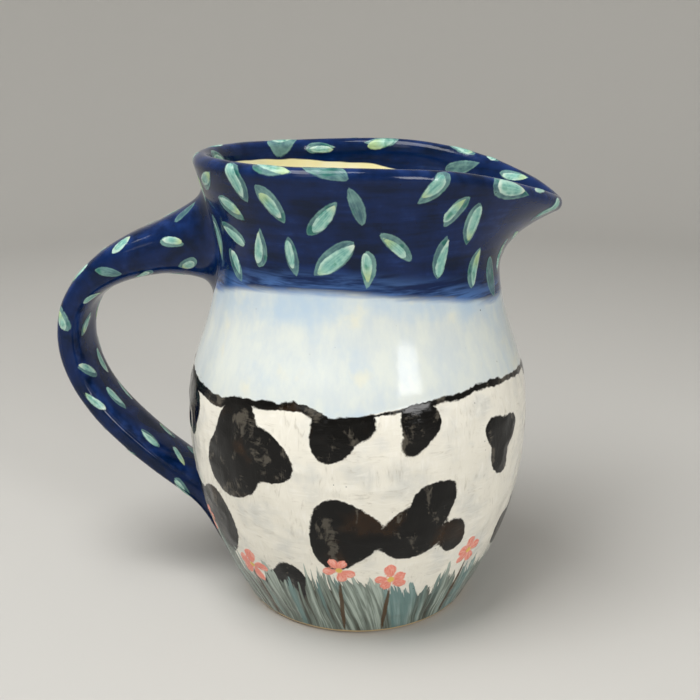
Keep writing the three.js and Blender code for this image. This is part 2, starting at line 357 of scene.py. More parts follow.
def crown_lines(angles):
    """Outer and inner line of collar and lip at each direction, as rows of radius and height."""
    share = np.linspace(0, 1, CROWN_ROWS)
    wall_top = RIM_HEIGHT - RIM_THICKNESS / 2 * (1 + math.sin(RIM_LEAN))
    heights = mix(LIP_ROOT, wall_top, share)[:, None]
    beak = lip_line(share)
    lip = lip_share(angles)[None, :]
    radius = mix(outer_radius(heights) + stretch(angles[None, :], heights), beak[:, :1], lip)
    height = mix(heights, beak[:, 1:], lip**LIP_SAG)
    outer = np.stack([radius, height], axis=-1)
    run = unit(np.gradient(outer, axis=0))
    steps = np.linalg.norm(np.diff(outer, axis=0, append=outer[-1:]), axis=-1)
    to_rim = np.cumsum(steps[::-1], axis=0)[::-1]
    thickness = mix(WALL, RIM_THICKNESS, smooth(1 - to_rim / RIM_SWELL_LENGTH))
    inner = outer + thickness[..., None] * np.stack([-run[..., 1], run[..., 0]], axis=-1)
    return outer, inner


def level_rows(radii, heights, columns=COLUMNS):
    """Rows of radius and height that are the same in every direction."""
    return np.repeat(np.stack([radii, heights], axis=-1)[:, None], columns, axis=1)


def turned(lines, angles):
    """Places of rows of radius and height that are turned to these directions."""
    radii = lines[..., 0]
    return np.stack([radii * np.cos(angles), radii * np.sin(angles), lines[..., 1]], axis=-1)


def vessel_rows(angles):
    """All rows of the jug's skin, from the middle of its underside to the middle of its floor, by zone."""
    outer, inner = crown_lines(angles)
    ease = np.linspace(0, math.pi / 2, FOOT_ROWS + 1)[1:]
    foot_edge = outer_radius(FOOT_EASE)
    middle = (outer[-1] + inner[-1]) / 2
    arm = outer[-1] - middle
    turns = np.linspace(0, math.pi, RIM_ROWS + 2)[1:-1, None]
    rim = middle + np.stack([
        arm[:, 0] * np.cos(turns) - arm[:, 1] * np.sin(turns),
        arm[:, 0] * np.sin(turns) + arm[:, 1] * np.cos(turns)], axis=-1)
    wall_heights = np.linspace(SEAM_INSIDE, FLOOR + FLOOR_FILLET, INNER_ROWS)
    corner_radius = inner_radius(FLOOR + FLOOR_FILLET)
    bottom_radius = inner_radius(FLOOR) - FLOOR_FILLET
    corner = bezier([
        (corner_radius, FLOOR + FLOOR_FILLET),
        (corner_radius - FILLET_PULL * FLOOR_FILLET * wall_slope(FLOOR), FLOOR + FILLET_REST * FLOOR_FILLET),
        (bottom_radius + FILLET_PULL * FLOOR_FILLET, FLOOR),
        (bottom_radius, FLOOR)], np.linspace(0, 1, CORNER_ROWS + 1)[1:])
    under_radii = np.linspace(HUB_RADIUS, FOOT_RADIUS - FOOT_EASE, UNDER_ROWS)
    floor_radii = np.linspace(bottom_radius, HUB_RADIUS, FLOOR_ROWS + 1)[1:]
    zones = {
        "under": level_rows(under_radii, np.zeros(UNDER_ROWS)),
        "foot": level_rows(
            FOOT_RADIUS - FOOT_EASE + (foot_edge - FOOT_RADIUS + FOOT_EASE) * np.sin(ease),
            FOOT_EASE * (1 - np.cos(ease))),
        "ledge": level_rows(*wall_line(FOOT_EASE, LEDGE, LEDGE_ROWS)),
        "belly": level_rows(*wall_line(LEDGE, SEAM_OUTSIDE, BELLY_ROWS)),
        "throat": level_rows(*wall_line(SEAM_OUTSIDE, LIP_ROOT, THROAT_ROWS)),
        "crown": outer[1:],
        "rim": rim,
        "inner_crown": inner[::-1],
        "inner_belly": level_rows(inner_radius(wall_heights), wall_heights),
        "corner": level_rows(corner[:, 0], corner[:, 1]),
        "floor": level_rows(floor_radii, np.full(FLOOR_ROWS, FLOOR)),
    }
    return zones


def wall_line(low, high, rows):
    """Radii and heights up the outside of the wall, after its lowest row."""
    heights = np.linspace(low, high, rows + 1)[1:]
    return outer_radius(heights), heights


def grid_normals(grid):
    """Outward normals of a skin of rows by columns whose columns close on themselves."""
    along = np.gradient(grid, axis=0)
    around = np.roll(grid, -1, axis=1) - np.roll(grid, 1, axis=1)
    return unit(np.cross(around, along))


def wander(places):
    """How far the hand-built wall stands out from its true form, which is below zero: it stays inside it."""
    return -INSET + WANDER * soft_noise(places, *WALL_NOISE)


# Painted border lines, as heights round the body
BORDER_HEIGHT = 149.0
BORDER_SWING = 5.5
BORDER_WAVE = 1.1
BORDER_TURN = math.radians(98)
INSIDE_BAND = 19.0
INSIDE_BAND_SWING = 8.0
INSIDE_BAND_WAVE = 0.8
INSIDE_BAND_TURN = math.radians(150)
INSIDE_BAND_LIP = 5.0
HIDE_TOP = 108.0
HIDE_TOP_SWING = 10.0
HIDE_TOP_WAVE = 2.2
GRASS_TOP = 31.0
GRASS_SWING = 13.0
GRASS_WAVE = 3.0
GRASS_LEAN = 0.4


def ring_noise(angle, size, seed):
    """Noise along a direction round the body that closes on itself."""
    places = np.stack([np.cos(angle), np.sin(angle), np.zeros_like(angle)], axis=-1) * BELLY_RADIUS
    return soft_noise(places, size, seed)


def border_height(angle):
    """Lower border of the cobalt band outside."""
    swing = BORDER_SWING * np.cos(2 * (angle + BORDER_TURN))
    return BORDER_HEIGHT + swing + BORDER_WAVE * ring_noise(angle, *BORDER_NOISE)


def hide_height(angle):
    """Upper border of the patched field on the belly."""
    swing = HIDE_TOP_SWING * ring_noise(angle, *HIDE_NOISE)
    return HIDE_TOP + swing + HIDE_TOP_WAVE * ring_noise(angle, *HIDE_FINE_NOISE)


def grass_height(angle):
    """Upper border of the grass round the foot."""
    swing = GRASS_SWING * ring_noise(angle, *GRASS_NOISE)
    return GRASS_TOP + swing + GRASS_WAVE * ring_noise(angle, *GRASS_FINE_NOISE)


# Brush marks: how their two ends taper, how far off they are looked for, and where they fade round a bend
BLUNT_END = (2.8, 0.66)
POINTED_END = (2.1, 0.92)
MARK_MARGIN = 5.0
NO_MARK = 3.0
FACING_AWAY = -0.6
FACING_ASIDE = 0.3
ASIDE_FADE = 9.0


def brush_mark(middle, run, up, length, width, tone, bow=0.0, lean=0.0):
    """One mark of the brush: half its length and width, its bow sideways and where along it is widest."""
    run = unit(run)
    return {
        "middle": middle, "run": run, "side": unit(np.cross(up, run)), "up": up,
        "length": length, "width": width, "tone": tone, "bow": bow, "lean": lean}


def mark_taper(along, lean):
    """Half width of a mark at a share of its half length, blunt at its start and pointed at its end."""
    shifted = np.clip(along + lean * (1 - along * along), -1, 1)
    blunt, pointed = (
        np.maximum(1 - np.abs(shifted) ** power, 0) ** root for power, root in (BLUNT_END, POINTED_END))
    return np.where(shifted < 0, blunt, pointed)


def painted_marks(places, normals, marks):
    """For each place, the nearest mark: distance to its edge, place along and across it, and its tone."""
    count = len(places)
    found = {
        "edge": np.full(count, FAR), "along": np.full(count, NO_MARK),
        "across": np.full(count, NO_MARK), "tone": np.zeros(count)}
    for mark in marks:
        offset = places - mark["middle"]
        reach = mark["length"] + MARK_MARGIN
        facing = normals @ mark["up"]
        near = np.nonzero((np.abs(offset) < reach).all(axis=1) & (facing > FACING_AWAY))[0]
        along = offset[near] @ mark["run"] / mark["length"]
        across = offset[near] @ mark["side"] / mark["width"] - mark["bow"] * along * along
        taper = mark_taper(along, mark["lean"])
        beyond = np.maximum(np.abs(along) - 1, 0) * mark["length"]
        edge = np.where(
            beyond > 0,
            np.hypot(across * mark["width"], beyond),
            (np.abs(across) - taper) * mark["width"])
        edge = edge + ASIDE_FADE * np.maximum(0, FACING_ASIDE - facing[near])
        closer = edge < found["edge"][near]
        chosen = near[closer]
        found["edge"][chosen] = edge[closer]
        found["along"][chosen] = along[closer]
        found["across"][chosen] = across[closer] / np.maximum(taper[closer], 0.05)
        found["tone"][chosen] = mark["tone"]
    return found


def scattered_leaves(places, normals, ways, spreads, longest, gap, tries):
    """Leaves at random places, turned from the ways by about their spreads, with a clear gap between them."""
    ways = unit(ways)
    taken = np.full((1, 3), 10 * FAR)
    taken_reach = np.zeros(1)
    leaves = []
    for index in random.integers(0, len(places), tries):
        turn = draw(-1, 1) * spreads[index]
        side = np.cross(normals[index], ways[index])
        run = ways[index] * math.cos(turn) + side * math.sin(turn)
        length = longest * draw(*LEAF_LENGTHS)
        width = length * draw(*LEAF_WIDTHS)
        spine = places[index] + np.outer(SPINE_PLACES, run * length)
        reach = width * np.array(SPINE_WIDTHS)
        room = np.linalg.norm(spine[:, None] - taken, axis=2) - reach[:, None] - taken_reach
        if room.min() > gap:
            taken = np.concatenate([taken, spine])
            taken_reach = np.concatenate([taken_reach, reach])
            leaves.append((places[index], normals[index], run * random.choice([-1, 1]), length, width))
    return leaves


def leaf_marks(leaves):
    """Leaf-shaped sheer washes with a smaller, thicker dab on each, set off to one side."""
    washes = []
    dabs = []
    for place, normal, run, length, width in leaves:
        side = np.cross(normal, run)
        tone = draw(0.05, 0.95)
        bow = draw(-0.3, 0.3)
        lean = draw(-0.25, 0.35)
        kind = random.random()
        if kind > NO_WASH_BELOW:
            washes.append(brush_mark(place, run, normal, length, width, tone, bow, lean))
        if kind < NO_DAB_ABOVE:
            slip = run * length * draw(-0.12, 0.08)
            slip = slip + side * width * random.choice([-0.34, -0.2, 0.2, 0.34])
            nudge = run + side * draw(-0.1, 0.1)
            dab_length = length * draw(0.7, 0.95)
            dab_width = width * draw(0.6, 0.8)
            dab_lean = draw(-0.3, 0.3)
            dabs.append(brush_mark(place + slip, nudge, normal, dab_length, dab_width, tone, bow, dab_lean))
    return washes, dabs


class Grid:
    """A skin of rows by columns, with its normals and the paint that lies on it."""

    def __init__(self, places):
        self.places = places
        self.normals = grid_normals(places)
        self.paint = {}

    def add_marks(self, name, marks):
        """Paints a layer of brush marks."""
        found = painted_marks(flat(self.places), flat(self.normals), marks)
        shape = self.places.shape[:2]
        for key, values in found.items():
            self.paint[name + "_" + key] = values.reshape(shape)

    def add_leaves(self, leaves):
        """Paints leaves, each a sheer wash with a dab on it."""
        washes, dabs = leaf_marks(leaves)
        self.add_marks("wash", washes)
        self.add_marks("dab", dabs)

    def raise_by(self, depth):
        """Moves the skin along its normals."""
        self.places = self.places + self.normals * depth[..., None]
        self.normals = grid_normals(self.places)

    def mark_relief(self, name, height, soften):
        """How far a layer of marks stands proud."""
        return height * smooth(0.35 - self.paint[name + "_edge"] / soften)

    def leaf_relief(self):
        """How far the leaves stand proud."""
        washes = self.mark_relief("wash", WASH_RELIEF, WASH_SOFTNESS)
        return washes + self.mark_relief("dab", DAB_RELIEF, DAB_SOFTNESS)


def vessel_grid():
    """The whole skin of base, belly, collar and lip, and the rows at which each zone starts."""
    angles = np.linspace(-math.pi, math.pi, COLUMNS, endpoint=False)
    zones = vessel_rows(angles)
    starts = {}
    row = 0
    for name, lines in zones.items():
        starts[name] = row
        row += len(lines)
    starts["end"] = row
    grid = Grid(turned(np.concatenate(list(zones.values())), angles))
    grid.starts = starts
    grid.angles = np.broadcast_to(angles, (row, COLUMNS))
    return grid


def zone_share(grid, *names):
    """1 on the rows of these zones and 0 elsewhere."""
    order = list(grid.starts)
    share = np.zeros(grid.places.shape[:2])
    for name in names:
        end = grid.starts[order[order.index(name) + 1]]
        share[grid.starts[name]:end] = 1
    return share


def rim_distance(grid):
    """Distance from the crest of the rim along the skin, below zero outside and above zero inside."""
    steps = np.linalg.norm(np.diff(grid.places, axis=0), axis=-1)
    run = np.concatenate([np.zeros((1, COLUMNS)), np.cumsum(steps, axis=0)])
    crest = (grid.starts["rim"] + grid.starts["inner_crown"]) // 2
    return run - run[crest]


def shape_vessel(grid):
    """Hand-built unevenness of the jug: its wall wanders, and its rim is uneven in height and thickness."""
    distance = rim_distance(grid)
    near_rim = np.exp(-((distance / RIM_REACH) ** 2))
    above_foot = smooth((grid.places[..., 2] - FOOT_EASE) / LEDGE)
    radius = np.linalg.norm(grid.places[..., :2], axis=-1)
    loose = mix(FOOT_WANDER, 1, above_foot) * smooth(radius / STILL_RADIUS)
    growth = 1 + wander(grid.places) * loose / radius
    lift = near_rim * RIM_WANDER * (soft_noise(grid.places, *RIM_NOISE) - RIM_SINK)
    grid.places = grid.places * np.stack([growth, growth, np.ones_like(growth)], axis=-1)
    grid.places[..., 2] += lift
    grid.normals = grid_normals(grid.places)
    lumps = LUMPS * soft_noise(grid.places, *LUMP_NOISE)
    rim_lumps = RIM_LUMPS * near_rim * soft_noise(grid.places, *RIM_LUMP_NOISE)
    grid.raise_by((lumps + rim_lumps) * above_foot)
    grid.paint["rim"] = distance
    grid.paint["crest"] = np.exp(-((distance / CREST_WIDTH) ** 2))


def paint_bands(grid):
    """Where the cobalt band, the pale inside, the bare foot and the patched field lie."""
    height = grid.places[..., 2]
    inside = zone_share(grid, "inner_crown", "inner_belly", "corner", "floor")
    inside_border = INSIDE_BAND - INSIDE_BAND_SWING * np.cos(grid.angles - INSIDE_BAND_TURN)
    inside_border = inside_border + INSIDE_BAND_LIP * lip_share(grid.angles)
    inside_border = inside_border + INSIDE_BAND_WAVE * ring_noise(grid.angles, *INSIDE_BORDER_NOISE)
    grid.paint["band"] = np.where(
        inside > 0, inside_border - grid.paint["rim"], height - border_height(grid.angles))
    grid.paint["inside"] = inside
    grid.paint["bare"] = zone_share(grid, "under", "foot")
    grid.paint["hide"] = np.where(inside > 0, -FAR, hide_height(grid.angles) - height)
    leaning = grid.angles + GRASS_LEAN * ring_noise(grid.angles, *GRASS_LEAN_NOISE) * height / BELLY_RADIUS
    grid.paint["grass"] = np.where(inside > 0, -FAR, grass_height(leaning) - height)
    grid.paint["stroke_x"] = BELLY_RADIUS * np.cos(leaning)
    grid.paint["stroke_y"] = BELLY_RADIUS * np.sin(leaning)


def paint_patches(grid):
    """Irregular rounded patches on the belly, each a few drops run together."""
    height = grid.places[..., 2]
    warp = [PATCH_WARP * soft_noise(grid.places, *noise) for noise in PATCH_NOISES]
    centres = []
    for trial in range(PATCH_TRIES):
        angle = draw(-math.pi, math.pi)
        level = draw(*PATCH_LEVELS)
        size = draw(*PATCH_SIZES)
        clear = True
        for other_angle, other_level, other_size in centres:
            gap = math.hypot(turn_between(angle, other_angle) * BELLY_RADIUS, level - other_level)
            clear = clear and gap > PATCH_SPACING * (size + other_size)
        if clear:
            centres.append((angle, level, size))
    total = np.zeros(height.shape)
    for angle, level, size in centres:
        tilt = draw(0, math.pi)
        for drop in range(PATCH_DROPS):
            turn = tilt + math.tau * drop / PATCH_DROPS + draw(-0.6, 0.6)
            reach = size * draw(0.35, 0.85)
            drop_angle = angle + reach * math.cos(turn) / BELLY_RADIUS
            drop_level = level + reach * math.sin(turn)
            drop_size = size * draw(0.5, 0.82)
            away = turn_between(grid.angles, drop_angle) * BELLY_RADIUS
            gap = np.hypot(away + warp[0], height - drop_level + warp[1]) - drop_size
            total += np.exp(-np.clip(gap, -30, 60) / PATCH_BLEND)
    patch = -PATCH_BLEND * np.log(total + 1e-9)
    grid.paint["patch"] = np.where(grid.paint["inside"] > 0, FAR, patch)


def wall_frame(angle, height):
    """Place on the outside of the body, its normal, the way round and the way up."""
    outward = np.array([math.cos(angle), math.sin(angle)])
    place = np.append(outer_radius(height) * outward, height)
    up = unit(np.append(wall_slope(height) * outward, 1.0))
    across = np.array([-math.sin(angle), math.cos(angle), 0.0])
    return place, np.cross(across, up), across, up


def paint_blossoms(grid):
    """Stems and five-petalled blossoms that stand out of the grass."""
    stems = []
    petals = []
    eyes = []
    for step in range(BLOSSOMS):
        angle = math.tau * (step + draw(-0.3, 0.3)) / BLOSSOMS - math.pi
        level = float(grass_height(np.array(angle))) + draw(*BLOSSOM_RISES)
        tone = draw(0.05, 0.95)
        place, normal, across, up = wall_frame(angle, level)
        eyes.append(brush_mark(place, up, normal, EYE_LENGTH, EYE_WIDTH, tone))
        size = draw(*PETAL_SIZES)
        start = draw(0, math.tau)
        for petal in range(PETALS):
            turn = start + math.tau * petal / PETALS + draw(-0.2, 0.2)
            out = across * math.cos(turn) + up * math.sin(turn)
            reach = size * draw(0.85, 1.12)
            middle = place + out * (reach + 0.5)
            width = size * draw(0.62, 0.78)
            bow = draw(-0.25, 0.25)
            petals.append(brush_mark(middle, -out, normal, reach, width, tone, bow, 0.3))
        sway = draw(-0.5, 0.5)
        root, root_normal = wall_frame(angle + sway * 0.05, level / 2)[:2]
        stems.append(brush_mark(root, place - root, root_normal, level / 2, STEM_WIDTH, tone, sway * 4, 0.1))
    grid.add_marks("stem", stems)
    grid.add_marks("petal", petals)
    grid.add_marks("eye", eyes)


def paint_vessel_leaves(grid):
    """Leaves scattered over the collar, the lip, the rim and a little way inside."""
    inside = grid.paint["inside"] > 0
    able = grid.paint["band"] > np.where(inside, INSIDE_BORDER_CLEAR, BORDER_CLEAR)
    able[able] = strap_gap(grid.places[able]) > ROOT_CLEAR
    places = grid.places[able]
    normals = grid.normals[able]
    rise = np.array([0.0, 0.0, 1.0]) - normals * normals[:, 2:]
    around = np.stack([-places[:, 1], places[:, 0], np.zeros(len(places))], axis=1)
    level = (grid.paint["crest"][able] > CREST_SHARE) | inside[able]
    ways = np.where(level[:, None], around, rise)
    spreads = np.where(level, LEVEL_SPREAD, RISING_SPREAD)
    grid.add_leaves(scattered_leaves(places, normals, ways, spreads, LEAF_LENGTH, LEAF_GAP, LEAF_TRIES))


def strap_line():
    """Middle line of the strap in its upright plane, and the distance along it at each point."""
    from_collar = -np.array([math.cos(UPPER_DROP), math.sin(UPPER_DROP)])
    down = np.array([0.0, -1.0])
    to_belly = np.array([math.cos(LOWER_DROP), -math.sin(LOWER_DROP)])
    down_belly = unit(np.array([wall_slope(TAIL_HEIGHT), -1.0]))
    line = path([
        ((WALL - outer_radius(UPPER_ROOT), UPPER_ROOT), from_collar, 0, WALL + UPPER_PULL),
        ((-HANDLE_REACH, BEND_HEIGHT), down, BEND_PULL_UP, BEND_PULL_DOWN),
        ((-outer_radius(LOWER_ROOT) - LOWER_STAND_OFF, LOWER_ROOT), to_belly, LOWER_PULL, TAIL_PULL),
        ((-outer_radius(TAIL_HEIGHT), TAIL_HEIGHT), down_belly, TAIL_PULL, 0)], STRAP_STEPS)
    line[:, 0] += TAIL_DIP * np.clip(1 - (line[:, 1] - TAIL_HEIGHT) / TAIL_DIP_LENGTH, 0, 1) ** 2
    steps = np.linalg.norm(np.diff(line, axis=0), axis=1)
    return line, np.concatenate([[0], np.cumsum(steps)])


STRAP_LINE, STRAP_RUN = strap_line()
STRAP_LENGTH = STRAP_RUN[-1]
STRAP_DIRECTION = np.gradient(STRAP_LINE, STRAP_RUN, axis=0)


def strap_size(run):
    """Half thickness, half width and squareness of the strap at distances along its middle line."""
    from_collar = run - WALL
    from_tail = STRAP_LENGTH - run
    swell = smooth(1 - from_collar / ROOT_SWELL_LENGTH)
    flare = np.clip(1 - from_collar / ROOT_FLARE_LENGTH, 0, 1.2) ** 2
    thinning = smooth(1 - from_tail / TAIL_LENGTH)
    tip = np.sqrt(np.clip(from_tail / TAIL_THICKNESS, 0, 1))
    rounding = np.sqrt(1 - (1 - np.clip(from_tail / TAIL_ROUNDING, 0, 1)) ** 2)
    half_thickness = mix(STRAP_THICKNESS, TAIL_THICKNESS, thinning) / 2 * tip
    half_width = mix(STRAP_WIDTH, TAIL_WIDTH, thinning) / 2 * rounding
    return (
        half_thickness + ROOT_SWELL * swell + ROOT_FLARE * flare,
        half_width + ROOT_SPREAD * flare,
        mix(STRAP_SQUARENESS, ROOT_SQUARENESS, swell))


def strap_places(run, turn):
    """Places on the skin of the strap at distances along it and turns round it."""
    line, way = (
        np.stack([np.interp(run, STRAP_RUN, values[:, axis]) for axis in (0, 1)], axis=-1)
        for values in (STRAP_LINE, STRAP_DIRECTION))
    way = unit(way)
    half_thickness, half_width, squareness = strap_size(run)
    through, across = (
        half * np.sign(share) * np.abs(share) ** (2 / squareness)
        for half, share in ((half_thickness, np.cos(turn)), (half_width, np.sin(turn))))
    return np.stack([
        line[..., 0] + way[..., 1] * through, across, line[..., 1] - way[..., 0] * through], axis=-1)


def body_gap(places):
    """Distance from the uneven outside of the body, below zero inside it."""
    radius = np.hypot(places[..., 0], places[..., 1])
    angle = np.arctan2(places[..., 1], places[..., 0])
    height = np.clip(places[..., 2], 0, RIM_HEIGHT)
    surface = outer_radius(height) + stretch(angle, height) + wander(places)
    return (radius - surface) / np.hypot(1, wall_slope(height))


def strap_gap(places):
    """Rough distance from the roots of the strap, for places on the body."""
    line = np.stack([STRAP_LINE[:, 0], np.zeros(len(STRAP_LINE)), STRAP_LINE[:, 1]], axis=-1)[::12]
    half_thickness, half_width = strap_size(STRAP_RUN[::12])[:2]
    nearest = np.full(len(places), FAR)
    for middle, deep, wide in zip(line, half_thickness, half_width):
        offset = places - middle
        gap = np.hypot(offset[:, 0], offset[:, 2]) / max(deep, 1)
        share = np.hypot(gap, offset[:, 1] / max(wide, 1))
        nearest = np.minimum(nearest, (share - 1) * max(deep, 1))
    return nearest


def root_runs(turns, gaps, runs):
    """Distances along the strap at which each line of its skin reaches these gaps from the body."""
    places = strap_places(runs[:, None], turns[None, :])
    gap = np.maximum.accumulate(body_gap(places), axis=0)
    found = np.empty((len(gaps), len(turns)))
    for column in range(len(turns)):
        found[:, column] = np.interp(gaps, gap[:, column], runs)
    return found


def fillet_gaps(radius):
    """Gaps from the body at the rows of a root's fillet, from just under its skin to the fillet's edge."""
    turn = np.linspace(0, math.pi / 2, FILLET_ROWS)
    return np.concatenate([[-ROOT_DEPTH], radius * (1 - np.cos(turn))])


def fillet_spread(gaps, radius):
    """How far a fillet spreads at these gaps from the body."""
    held = np.clip(gaps, 0, radius)
    return radius - np.sqrt(np.maximum(radius**2 - (radius - held) ** 2, 0)) + np.maximum(-gaps, 0)


def ease_bend(places, runs, turns):
    """Evens out the hollow bend on the outside of the strap, where it turns down into its tail."""
    from_tail = STRAP_LENGTH - runs
    share = smooth((from_tail - EASE_NEAR) / EASE_NEAR_FADE) * smooth((EASE_FAR - from_tail) / EASE_FAR_FADE)
    share = share * smooth(body_gap(places) - EASE_CLEAR) * np.clip(2 * np.cos(turns), 0, 1)
    share = share[1:-1, :, None] / 2
    for step in range(EASE_ROUNDS):
        between = (places[:-2] + places[2:]) / 2
        places[1:-1] += share * (between - places[1:-1])


def strap_grid():
    """Skin of the handle from the collar to the tail, with both roots run into the body."""
    turns = np.linspace(0, math.tau, STRAP_COLUMNS, endpoint=False)
    upper_gaps = fillet_gaps(UPPER_FILLET)
    lower_gaps = fillet_gaps(LOWER_FILLET)
    upper = root_runs(turns, upper_gaps, np.linspace(0, STRAP_LENGTH / 2, ROOT_STEPS))
    lower = root_runs(turns, lower_gaps, np.linspace(STRAP_LENGTH, STRAP_LENGTH / 2, ROOT_STEPS))
    share = np.linspace(0, 1, STRAP_ROWS + 2)[1:-1, None]
    runs = np.concatenate([upper, mix(upper[-1], lower[-1], share), lower[::-1]])
    grid = Grid(strap_places(runs, np.broadcast_to(turns, runs.shape)))
    spread = np.zeros(runs.shape)
    spread[: len(upper)] = fillet_spread(upper_gaps, UPPER_FILLET)[:, None]
    spread[-len(lower):] = fillet_spread(lower_gaps[::-1], LOWER_FILLET)[:, None]
    outward = unit(grid.places * np.array([1, 1, 0]))
    outward[..., 2] = -wall_slope(grid.places[..., 2])
    outward = unit(outward)
    level = grid.normals - outward * np.sum(grid.normals * outward, axis=-1, keepdims=True)
    grid.places = grid.places + level * spread[..., None]
    rows = np.concatenate([np.arange(len(upper)), np.arange(len(runs) - len(lower), len(runs))])
    wanted = np.concatenate([upper_gaps, lower_gaps[::-1]])[:, None]
    grid.places[rows] += outward[rows] * (wanted - body_gap(grid.places[rows]))[..., None]
    ease_bend(grid.places, runs, turns)
    grid.normals = grid_normals(grid.places)
    grid.runs = runs
    grid.turns = np.broadcast_to(turns, runs.shape)
    return grid


def shape_strap(grid):
    """Unevenness of the pulled strap, with shallow grooves that fingers left along it."""
    away = smooth((body_gap(grid.places) - ROOT_STILL) / ROOT_STILL_FADE)
    groove = FINGER_GROOVE * np.cos(3 * grid.turns) * np.cos(grid.turns) ** 2
    drift = STRAP_WANDER * soft_noise(grid.places, *STRAP_NOISE) - STRAP_INSET
    lumps = STRAP_LUMPS * soft_noise(grid.places, *STRAP_LUMP_NOISE)
    grid.raise_by((drift + lumps - groove) * away)
    grid.paint["crest"] = np.abs(np.sin(2 * grid.turns)) ** 3 * away


def paint_strap_leaves(grid):
    """Leaves scattered all round the strap, clear of its roots and its tail."""
    able = (body_gap(grid.places) > ROOT_CLEAR) & (grid.runs < STRAP_LENGTH - TAIL_CLEAR)
    places = grid.places[able]
    normals = grid.normals[able]
    ways = np.gradient(grid.places, axis=0)[able]
    ways = ways - normals * np.sum(ways * normals, axis=1)[:, None]
    spreads = np.full(len(places), STRAP_SPREAD)
    grid.add_leaves(scattered_leaves(
        places, normals, ways, spreads, STRAP_LEAF_LENGTH, STRAP_LEAF_GAP, STRAP_LEAF_TRIES))


def row_faces(rows, closed):
    """Faces between neighbouring rows of vertices, and from the last row to the first of a closed skin."""
    following = np.roll(rows, -1, axis=0)
    if not closed:
        rows = rows[:-1]
        following = following[:-1]
    corners = [rows, np.roll(rows, -1, axis=1), np.roll(following, -1, axis=1), following]
    return np.stack(corners, axis=-1).reshape(-1, 4)


def smooth_mesh(name, corners, faces):
    """A smooth mesh with its corners in metres."""
    mesh = bpy.data.meshes.new(name)
    mesh.from_pydata(corners.tolist(), [], faces)
    mesh.polygons.foreach_set("use_smooth", np.ones(len(mesh.polygons), bool))
    return mesh


def new_object(name, data):
    """An object in the scene."""
    thing = bpy.data.objects.new(name, data)
    bpy.context.scene.collection.objects.link(thing)
    return thing


def aimed_object(name, data, place, look):
    """An object in the scene at a place, looking along a direction."""
    thing = new_object(name, data)
    thing.location = place
    thing.rotation_mode = "QUATERNION"
    thing.rotation_quaternion = Vector(look).to_track_quat("-Z", "Y")
    return thing


def skin_piece(name, grid, rows, closed, body, nodes):
    """A piece of the object from rows of a grid, closed row on row or by a fan at each end."""
    rows = np.asarray(rows)
    columns = grid.places.shape[1]
    ends = [] if closed else [rows[0], rows[-1]]
    index = np.arange(len(rows) * columns).reshape(len(rows), columns)
    faces = row_faces(index, closed).tolist()
    if ends:
        first = index.size
        for column in range(columns):
            after = (column + 1) % columns
            faces.append([first, int(index[0, after]), int(index[0, column])])
            faces.append([first + 1, int(index[-1, column]), int(index[-1, after])])
    mesh = smooth_mesh(name, with_ends(grid.places, rows, ends) * METRE, faces)
    for layer, values in grid.paint.items():
        paint = mesh.attributes.new(layer, "FLOAT", "POINT")
        paint.data.foreach_set("value", with_ends(values, rows, ends).astype(np.float32))
    add_bake_map(mesh, len(rows), columns, closed)
    normals = unit(with_ends(grid.normals, rows, ends))
    mesh.normals_split_custom_set_from_vertices(normals.tolist())
    mesh.update()
    piece = new_object(name, mesh)
    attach(piece, body)
    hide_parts(*nodes)
    return piece


def with_ends(values, rows, ends):
    """Values of a skin at these rows, and then the mean of each end row, for the middle of its fan."""
    return np.concatenate([flat(values[rows]), values[ends].mean(axis=1)])


def add_bake_map(mesh, rows, columns, closed):
    """A flat map of the skin for textures: columns across it, rows up it and a strip for each fan."""
    quads = (rows if closed else rows - 1) * columns
    row, column = np.divmod(np.arange(quads)[:, None], columns)
    across = (column + [0, 1, 1, 0]) / columns
    up = (row + [0, 0, 1, 1]) / (rows + 1)
    spots = flat(np.stack([across, up], axis=-1))
    if not closed:
        spots = np.concatenate([spots, cap_spots(columns, rows)])
    layer = mesh.uv_layers.new(name="OFBake")
    layer.data.foreach_set("uv", spots.astype(np.float32).ravel())


def cap_spots(columns, rows):
    """Map corners of the two fans of triangles, in two narrow strips above the rows."""
    low = (rows - 0.9) / (rows + 1)
    high = 0.999
    middle = (low + high) / 2
    spots = []
    for column in range(columns):
        near = column / columns
        far = (column + 1) / columns
        spots += [(near, low), (far, middle - 0.002), (near, middle - 0.002)]
        spots += [(near, high), (near, middle + 0.002), (far, middle + 0.002)]
    return np.array(spots)


def colour(code):
    """Linear colour of a web colour code."""
    values = [int(code[start:start + 2], 16) / 255 for start in (1, 3, 5)]
    linear = [v / 12.92 if v <= 0.04045 else ((v + 0.055) / 1.055) ** 2.4 for v in values]
    return (*linear, 1.0)


# Colours of the glazes and paints
COBALT_DEEP = colour("#021531")
COBALT_BODY = colour("#07204c")
COBALT_THIN = colour("#24417e")
COBALT_EDGE = colour("#4d73ad")
SKY_BLUE = colour("#b7cbdb")
SKY_PALE = colour("#cdd5d6")
SKY_CLOUD = colour("#dadfd8")
SKY_WARM = colour("#e8e2c6")
CREAM = colour("#ebe7da")
CREAM_COOL = colour("#d8d7cf")
# Darker cream of the brush streaks: painted shade on the strokes
CREAM_PAINTED_SHADE = colour("#b9b2a3")
# Lighter cream of the brush streaks: painted highlight on the strokes
CREAM_PAINTED_HIGHLIGHT = colour("#f4f1e8")
BLACK = colour("#070605")
BLACK_THIN = colour("#565148")
BLACK_BROWN = colour("#2c1c0c")
LEAF_SHEER = colour("#4f7778")
LEAF_WASH = colour("#7ba39b")
LEAF_EMERALD = colour("#12735c")
LEAF_TEAL = colour("#6ba79d")
LEAF_MINT = colour("#97c6b7")
LEAF_LIGHT = colour("#bddccd")
LEAF_PALE = colour("#dbe9d8")
LEAF_YELLOW = colour("#b3c988")
GRASS_DARK = colour("#46463c")
GRASS_MIDDLE = colour("#707b72")
GRASS_PALE = colour("#aab6ac")
